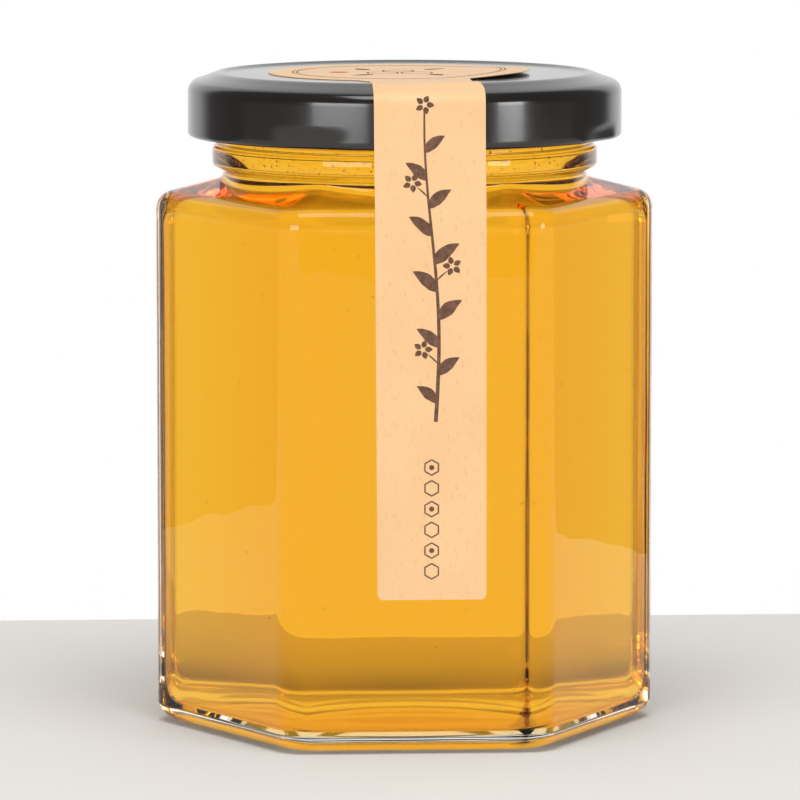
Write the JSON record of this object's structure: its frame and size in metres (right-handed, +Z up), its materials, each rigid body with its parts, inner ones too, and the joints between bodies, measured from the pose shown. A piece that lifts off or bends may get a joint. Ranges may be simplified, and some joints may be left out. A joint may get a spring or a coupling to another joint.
{
  "type": "hexagonal honey jar",
  "caption": "Hexagonal clear glass jar filled with golden honey, closed by a black metal twist-off lid, with a kraft paper seal from lid to front; it stores and serves honey.",
  "frame": {"origin": "centre of the base, on the surface the jar stands on", "axes": "+Z up; the front flat with the paper strip faces -Y; two of the six vertical edges lie on the X axis"},
  "size_m": [0.0758, 0.0671, 0.0999],
  "materials": {
    "glass": "clear colourless pressed glass, smooth, with softly rounded edges",
    "honey": "clear golden liquid honey with a few fine bubbles at its surface",
    "black_lacquer": "black lacquered tinplate, semi-gloss",
    "kraft_paper": "uncoated pale kraft paper with fine fibres and dark brown print"
  },
  "bodies": {
    "root": {"jar": "glass", "honey": "honey", "lid": "black_lacquer", "seal_label": "kraft_paper"}
  },
  "joints": []
}
